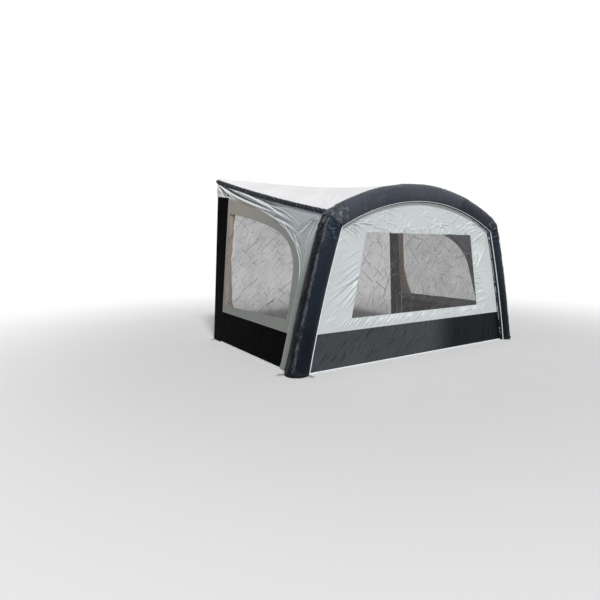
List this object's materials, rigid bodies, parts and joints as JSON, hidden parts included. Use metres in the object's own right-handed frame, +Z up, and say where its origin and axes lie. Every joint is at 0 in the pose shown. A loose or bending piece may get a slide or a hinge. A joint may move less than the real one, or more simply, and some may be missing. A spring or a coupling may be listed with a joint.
{
  "type": "caravan awning",
  "caption": "Air awning with a bent inflated arch, sloping roof, zipped front panel with a window, and side walls that each have a zipped door, window and draught strip.",
  "frame": {"origin": "on the ground, under the middle of the whole part", "axes": "+X to the right as seen by someone standing in front and looking at the front panel, +Y to the rear where the roof meets its rail, +Z up"},
  "size_m": [4.2308, 2.6412, 2.455],
  "materials": {
    "navy_cloth": "woven polyester, satin",
    "charcoal_cloth": "woven polyester, satin",
    "black_cloth": "coated cloth, matte",
    "foam_strip": "cloth over soft foam, matte",
    "black_webbing": "woven webbing, matte",
    "silver_cloth": "woven polyester, satin",
    "pale_cloth": "coated polyester, satin",
    "grey_cloth": "woven polyester, satin",
    "white_trim": "woven tape and piping, satin",
    "curtain_cloth": "thin woven cloth, matte",
    "clear_film": "clear tinted film, glossy",
    "air_film": "coated air bladder, semi-gloss",
    "grey_plastic": "moulded plastic, matte",
    "white_plastic": "moulded plastic, satin",
    "zinc": "plated zinc, polished"
  },
  "bodies": {
    "awning": {"arch_air_tube": "air_film", "arch_piping": "white_trim", "arch_top_sleeve": "charcoal_cloth", "left_corner_strap": "white_trim", "left_door_zip": "white_trim", "left_draught_strip": "foam_strip", "left_foot_boot": "black_cloth", "left_front_peg_loop": "black_webbing", "left_leg_flange": "black_cloth", "left_leg_sleeve": "navy_cloth", "left_rear_peg_loop": "black_webbing", "left_roof_air_tube": "air_film", "left_roof_sleeve": "navy_cloth", "left_side_peg_loop": "black_webbing", "left_wall": "silver_cloth", "rail_bead": "pale_cloth", "right_corner_strap": "white_trim", "right_door_zip": "white_trim", "right_draught_strip": "foam_strip", "right_foot_boot": "black_cloth", "right_front_peg_loop": "black_webbing", "right_leg_flange": "black_cloth", "right_leg_sleeve": "navy_cloth", "right_rear_peg_loop": "black_webbing", "right_roof_air_tube": "air_film", "right_roof_sleeve": "navy_cloth", "right_side_peg_loop": "black_webbing", "right_wall": "silver_cloth", "roof_panel": "pale_cloth", "valve_body": "grey_plastic"},
    "front_panel": {"front_band": "charcoal_cloth", "front_hem_cord": "white_trim", "front_panel_cloth": "silver_cloth", "front_window": "clear_film"},
    "left_door": {"left_curtain": "curtain_cloth", "left_door_band": "black_cloth", "left_door_frame": "grey_cloth", "left_door_hem": "silver_cloth", "left_door_window": "clear_film"},
    "left_door_slider": {"left_door_slider": "zinc"},
    "left_front_slider": {"left_front_slider": "zinc"},
    "right_door": {"right_curtain": "curtain_cloth", "right_door_band": "black_cloth", "right_door_frame": "grey_cloth", "right_door_hem": "silver_cloth", "right_door_window": "clear_film"},
    "right_door_slider": {"right_door_slider": "zinc"},
    "right_front_slider": {"right_front_slider": "zinc"},
    "valve_cap": {"valve_cap": "grey_plastic"},
    "valve_plunger": {"valve_plunger": "white_plastic"}
  },
  "joints": [
    {"name": "front_panel_drop", "type": "hinge", "parent": "awning", "child": "front_panel", "pos_m": [0, -1.15149, 0.0063], "axis": [1, 0, 0], "range_deg": [0, 90]},
    {"name": "left_door_swing", "type": "hinge", "parent": "awning", "child": "left_door", "pos_m": [-1.91352, 1.0299, 0], "axis": [-0.0816, 0, -0.9967], "range_deg": [0, 90]},
    {"name": "left_door_slider_run", "type": "slide", "parent": "awning", "child": "left_door_slider", "axis": [0.2459, 0, 0.9693], "range_m": [0, 0.94]},
    {"name": "left_front_slider_run", "type": "slide", "parent": "awning", "child": "left_front_slider", "axis": [0.228, 0, 0.9737], "range_m": [0, 0.5]},
    {"name": "right_door_swing", "type": "hinge", "parent": "awning", "child": "right_door", "pos_m": [1.91352, 1.0299, 0], "axis": [-0.0816, 0, 0.9967], "range_deg": [0, 90]},
    {"name": "right_door_slider_run", "type": "slide", "parent": "awning", "child": "right_door_slider", "axis": [-0.2459, 0, 0.9693], "range_m": [0, 0.94]},
    {"name": "right_front_slider_run", "type": "slide", "parent": "awning", "child": "right_front_slider", "axis": [-0.228, 0, 0.9737], "range_m": [0, 0.5]},
    {"name": "valve_cap_turn", "type": "hinge", "parent": "awning", "child": "valve_cap", "pos_m": [-1.70032, -1.02479, 0.36961], "axis": [0.8092, 0.5556, -0.191], "range_deg": [0, 540]},
    {"name": "valve_plunger_press", "type": "slide", "parent": "awning", "child": "valve_plunger", "axis": [-0.8092, -0.5556, 0.191], "range_m": [0, 0.0035], "stiffness_N_per_m": 300}
  ]
}
